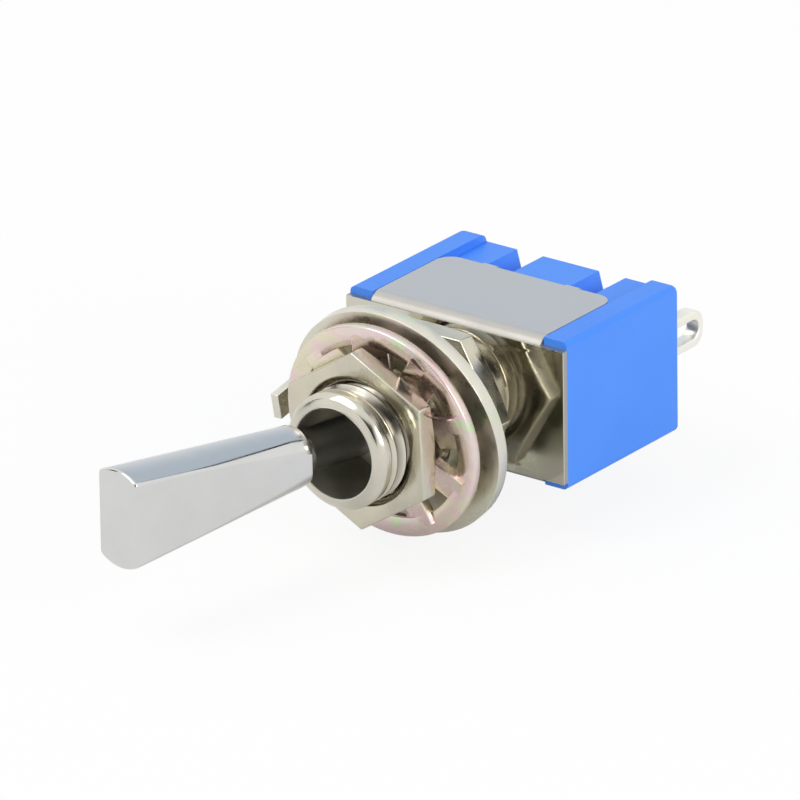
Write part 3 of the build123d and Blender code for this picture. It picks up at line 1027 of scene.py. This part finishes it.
def shape_nodes(name, inputs):
    """A geometry node group with named inputs after its geometry."""
    tree = bpy.data.node_groups.new(name, "GeometryNodeTree")
    tree.interface.new_socket("Geometry", in_out="INPUT", socket_type="NodeSocketGeometry")
    for title, kind in inputs:
        tree.interface.new_socket(title, in_out="INPUT", socket_type=kind)
    tree.interface.new_socket("Geometry", in_out="OUTPUT", socket_type="NodeSocketGeometry")
    return tree, tree.nodes.new("NodeGroupInput"), tree.nodes.new("NodeGroupOutput")


def run_nodes(made, tree, values):
    """Runs a geometry node group on an object with its inputs set, and keeps the plain mesh."""
    modifier = made.modifiers.new(tree.name, "NODES")
    modifier.node_group = tree
    for item in tree.interface.items_tree:
        if item.in_out == "INPUT" and item.name in values:
            modifier[item.identifier] = values[item.name]
    apply_modifiers(made)


print("Node groups so far:", len(bpy.data.node_groups))

# %% Lock washer's ring
ring_inside, ring_outside, ring_thick = 4.62, 5.67, 0.5
rim = 0.06
washer_profile = [
    (ring_inside, rim), (ring_inside + rim / 3, rim / 3), (ring_inside + rim, 0),
    (ring_outside - rim, 0), (ring_outside - rim / 3, rim / 3), (ring_outside, rim),
    (ring_outside, ring_thick - rim), (ring_outside - rim / 3, ring_thick - rim / 3),
    (ring_outside - rim, ring_thick), (ring_inside + rim, ring_thick),
    (ring_inside + rim / 3, ring_thick - rim / 3), (ring_inside, ring_thick - rim),
]
ring_points, ring_faces = turned_points(washer_profile, 144)
ring_mesh = mesh_from("toothed_lock_washer", ring_points, ring_faces)
lock_washer = add_object("toothed_lock_washer", ring_mesh)
print("Ring points:", len(ring_points))

# %% One tooth
tooth_root = 5.1
tooth_tip = 3.3
root_twist = -14
tip_twist = -2
tooth_steps = 10
half_wide = 0.95
half_thick = ring_thick / 2
soft = 0.05
outline = [
    (half_wide, -half_thick + soft), (half_wide, half_thick - soft),
    (half_wide - soft, half_thick), (-half_wide + soft, half_thick),
    (-half_wide, half_thick - soft), (-half_wide, -half_thick + soft),
    (-half_wide + soft, -half_thick), (half_wide - soft, -half_thick),
]
corners = len(outline)
tooth_points = []
tooth_faces = []
for step in range(tooth_steps + 1):
    share = step / tooth_steps
    radius = tooth_root + (tooth_tip - tooth_root) * share
    twist = radians(root_twist + tip_twist * share)
    for across, thick in outline:
        y = half_thick + thick * cos(twist) + across * sin(twist)
        tooth_points.append((radius, y, across * cos(twist) - thick * sin(twist)))
for step in range(tooth_steps):
    for corner in range(corners):
        near, far = step * corners + corner, step * corners + (corner + 1) % corners
        tooth_faces.append((near, far, far + corners, near + corners))
last = tooth_steps * corners
tooth_faces += [tuple(reversed(range(corners))), tuple(range(last, last + corners))]
tooth = add_object("tooth_tool", mesh_from("tooth_tool", tooth_points, tooth_faces))
print("Tooth points:", len(tooth_points))

# %% Teeth round the ring
tooth_count = 9
first_tooth = radians(-13.0)
washer_place = Vector((0, -6.05, -0.17)) * MM
washer_tilt = radians(7.0)

teeth, given, result = shape_nodes("Teeth round a ring", (
    ("Tooth", "NodeSocketObject"), ("Tooth Count", "NodeSocketInt"),
    ("First Angle", "NodeSocketFloat"), ("Finish", "NodeSocketMaterial")))
spots = node(teeth, "GeometryNodePoints")
number = node(teeth, "GeometryNodeInputIndex")
pitch = node(teeth, "ShaderNodeMath", operation="DIVIDE")
pitch.inputs[0].default_value = -2 * pi
angle_of = node(teeth, "ShaderNodeMath", operation="MULTIPLY_ADD")
turn = node(teeth, "ShaderNodeCombineXYZ")
shape_of = node(teeth, "GeometryNodeObjectInfo")
placed = node(teeth, "GeometryNodeInstanceOnPoints")
real = node(teeth, "GeometryNodeRealizeInstances")
union = node(teeth, "GeometryNodeMeshBoolean", operation="UNION", solver="EXACT")
finish = node(teeth, "GeometryNodeSetMaterial")
wire(teeth, (given, "Tooth Count", spots, "Count"), (given, "Tooth Count", pitch, 1),
     (number, 0, angle_of, 0), (pitch, 0, angle_of, 1), (given, "First Angle", angle_of, 2),
     (angle_of, 0, turn, "Y"), (given, "Tooth", shape_of, "Object"), (spots, 0, placed, "Points"),
     (shape_of, "Geometry", placed, "Instance"), (turn, 0, placed, "Rotation"),
     (placed, 0, real, 0), (given, "Geometry", union, 1), (real, 0, union, 1),
     (union, 0, finish, "Geometry"), (given, "Finish", finish, "Material"), (finish, 0, result, 0))
run_nodes(lock_washer, teeth, {
    "Tooth": tooth, "Tooth Count": tooth_count, "First Angle": first_tooth, "Finish": pink_zinc})
bpy.data.objects.remove(tooth)
hang = Matrix.Translation(washer_place) @ Matrix.Rotation(washer_tilt, 4, "X")
lock_washer.data.transform(hang)
shade_by_angle(lock_washer, sharp_angle)
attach(lock_washer, "front_washer")
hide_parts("lock_washer")
print("Lock washer faces:", len(lock_washer.data.polygons))

# %% Spring
coil_turns = 4.0
coil_radius = 0.52 * MM
wire_radius = 0.08 * MM
coil_length = 1.76 * MM
coil_start = 3.12

coil, given, result = shape_nodes("Coil spring", (
    ("Turns", "NodeSocketFloat"), ("Coil Radius", "NodeSocketFloat"),
    ("Wire Radius", "NodeSocketFloat"), ("Length", "NodeSocketFloat"),
    ("Finish", "NodeSocketMaterial")))
spiral = node(coil, "GeometryNodeCurveSpiral", Resolution=40)
round_wire = node(coil, "GeometryNodeCurvePrimitiveCircle", Resolution=16)
swept = node(coil, "GeometryNodeCurveToMesh")
swept.inputs["Fill Caps"].default_value = True
finish = node(coil, "GeometryNodeSetMaterial")
wire(coil, (given, "Turns", spiral, "Rotations"), (given, "Coil Radius", spiral, "Start Radius"),
     (given, "Coil Radius", spiral, "End Radius"), (given, "Length", spiral, "Height"),
     (given, "Wire Radius", round_wire, "Radius"), (spiral, 0, swept, "Curve"),
     (round_wire, 0, swept, "Profile Curve"), (swept, 0, finish, "Geometry"),
     (given, "Finish", finish, "Material"), (finish, 0, result, 0))
spring = add_object("coil_spring", bpy.data.meshes.new("coil_spring"))
run_nodes(spring, coil, {
    "Turns": coil_turns, "Coil Radius": coil_radius, "Wire Radius": wire_radius,
    "Length": coil_length, "Finish": steel})
spring_axes = Matrix((sideways, Vector((0, 0, -1)), -forward)).transposed().to_4x4()
spring.data.transform(Matrix.Translation((pivot - forward * coil_start) * MM) @ spring_axes)
shade_by_angle(spring, 50)
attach(spring, "plunger")
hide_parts("plunger_spring")
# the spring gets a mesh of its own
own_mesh(spring)
print("Spring faces:", len(spring.data.polygons))

# %% [markdown]
# ## Nuts and locating washer
# The nuts are turned from hexagon bar, which leaves a cone on the rear corners and a countersink at
# each end of the bore. The locating washer is stamped: its key sits in the barrel's keyway and its
# tab is bent forward. Their solids already have these shapes, so only the edges are rounded.

# %% Nuts and locating washer
front_nut = dress("front_nut", "front_hex_nut", "front_nut", nickel, 0.07)
dress("rear_nut", "rear_hex_nut", "rear_nut", nickel, 0.07)
dress("locating_washer", "keyed_washer", "rear_washer", pale_zinc, 0.08)
print("Front nut faces:", len(front_nut.data.polygons))

# %% Update
bpy.context.view_layer.update()
